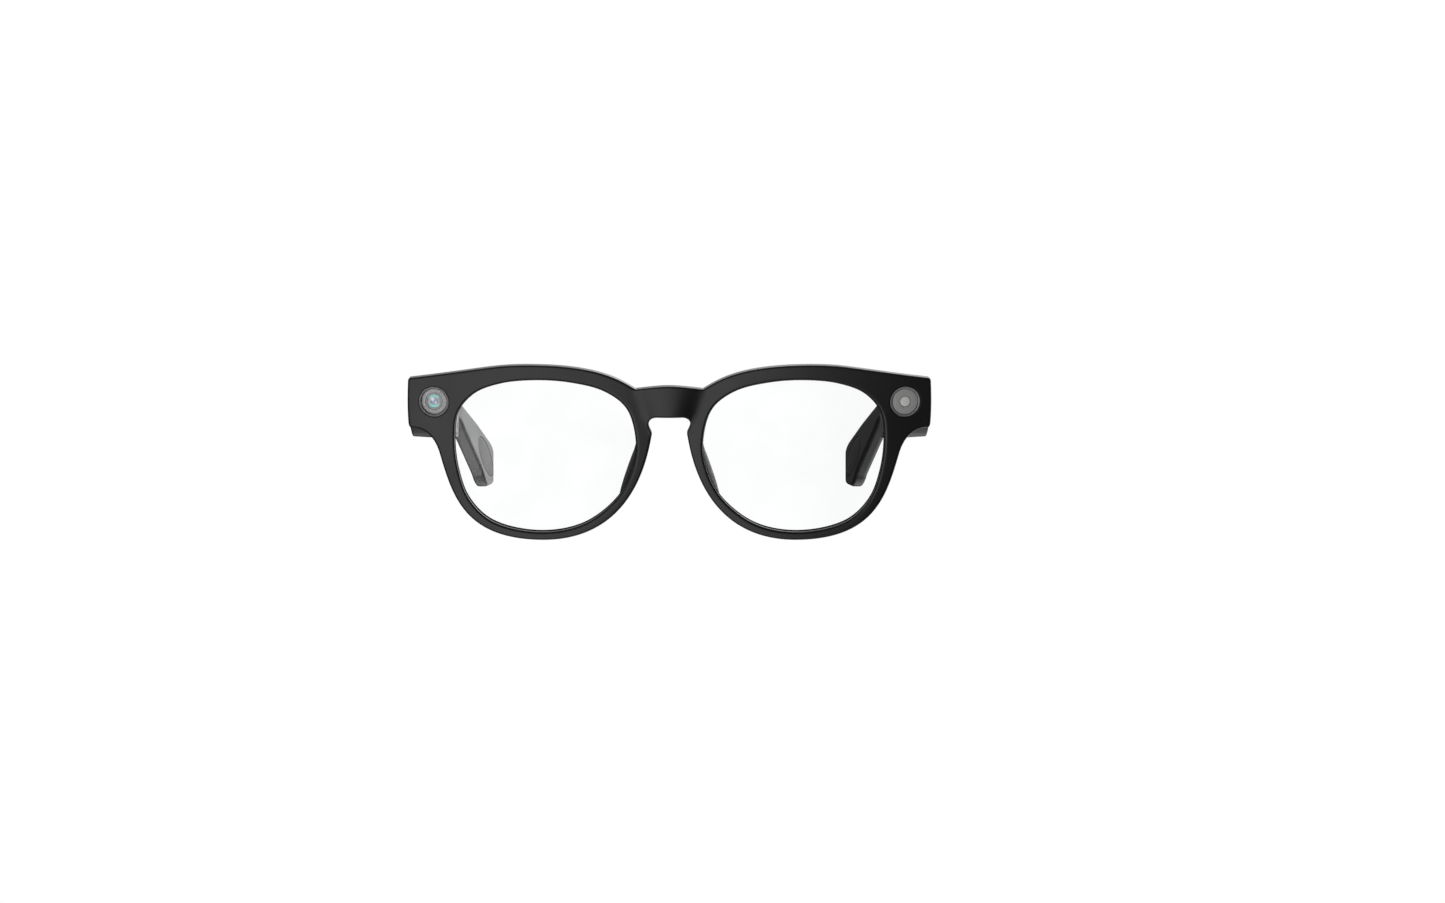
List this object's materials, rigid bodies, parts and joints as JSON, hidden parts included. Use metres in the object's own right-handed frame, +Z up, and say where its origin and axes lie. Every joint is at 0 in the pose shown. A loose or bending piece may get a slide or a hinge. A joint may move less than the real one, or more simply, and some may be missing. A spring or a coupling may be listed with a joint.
{
  "type": "smart glasses",
  "caption": "Smart glasses: keyhole-bridge front with camera and light windows, clear lenses, and two thick folding temples with electronics, capture button and power slider.",
  "frame": {"origin": "middle of the floor under the bounding box, the glasses standing on their rims and temple tips", "axes": "+X to the wearer's left, -Y the way the front faces, +Z up"},
  "size_m": [0.1482, 0.1478, 0.0492],
  "materials": {
    "frame_black": "matte",
    "temple_black": "matte",
    "satin_black": "satin",
    "soft_pad": "matte",
    "lens_clear": "gloss",
    "optics_clear": "gloss",
    "window_grey": "satin",
    "steel": "satin",
    "gold": "satin",
    "circuit_board": "satin",
    "chip": "satin",
    "battery_pouch": "satin",
    "polyimide": "satin"
  },
  "bodies": {
    "front": {"front_frame": "frame_black", "brow_ribbon": "polyimide", "brow_channel_strip": "satin_black", "bridge_microphone": "steel", "right_lens": "lens_clear", "right_nose_pad": "frame_black", "right_window_bezel": "window_grey", "right_window_board": "circuit_board", "camera_cover_glass": "optics_clear", "camera_barrel": "satin_black", "camera_front_element": "optics_clear", "camera_sensor": "chip", "left_lens": "lens_clear", "left_nose_pad": "frame_black", "left_window_bezel": "window_grey", "left_window_board": "circuit_board", "light_diffuser": "window_grey", "light_centre_window": "optics_clear", "light_guide": "optics_clear", "light_emitter": "chip", "right_hinge_front_leaf": "steel", "right_hinge_pin": "steel", "left_hinge_front_leaf": "steel", "left_hinge_pin": "steel"},
    "right_temple": {"right_temple_housing": "temple_black", "right_inner_cover": "temple_black", "right_hinge_temple_leaf": "steel", "right_tip_pad": "soft_pad", "right_speaker": "satin_black", "right_speaker_grille": "steel", "right_cover_screw_1": "steel", "right_cover_screw_2": "steel", "right_microphone": "steel", "right_battery": "battery_pouch", "right_main_board": "circuit_board", "right_processor_can": "steel", "right_touch_film": "polyimide", "right_button_switch": "steel", "right_charging_contact_1": "gold", "right_charging_contact_2": "gold"},
    "capture_button": {"capture_button": "satin_black"},
    "left_temple": {"left_temple_housing": "temple_black", "left_inner_cover": "temple_black", "left_hinge_temple_leaf": "steel", "left_tip_pad": "soft_pad", "left_speaker": "satin_black", "left_speaker_grille": "steel", "left_cover_screw_1": "steel", "left_cover_screw_2": "steel", "left_microphone": "steel", "left_battery": "battery_pouch", "left_radio_board": "circuit_board", "left_radio_can": "steel", "left_antenna": "gold", "left_slider_switch_body": "satin_black"},
    "power_slider": {"power_slider": "satin_black"}
  },
  "joints": [
    {"name": "right_temple_fold", "type": "hinge", "parent": "front", "child": "right_temple", "pos_m": [-0.065, -0.0559, 0.03697], "axis": [0, 0.0418, -0.9991], "range_deg": [0, 77]},
    {"name": "left_temple_fold", "type": "hinge", "parent": "front", "child": "left_temple", "pos_m": [0.065, -0.0559, 0.03697], "axis": [0, -0.0418, 0.9991], "range_deg": [0, 88]},
    {"name": "capture_button_press", "type": "slide", "parent": "right_temple", "child": "capture_button", "axis": [0, -0.0977, -0.9952], "range_m": [0, 0.0004], "stiffness_N_per_m": 2500},
    {"name": "power_slide", "type": "slide", "parent": "left_temple", "child": "power_slider", "axis": [0, 0.9952, -0.0977], "range_m": [0, 0.0018]}
  ]
}
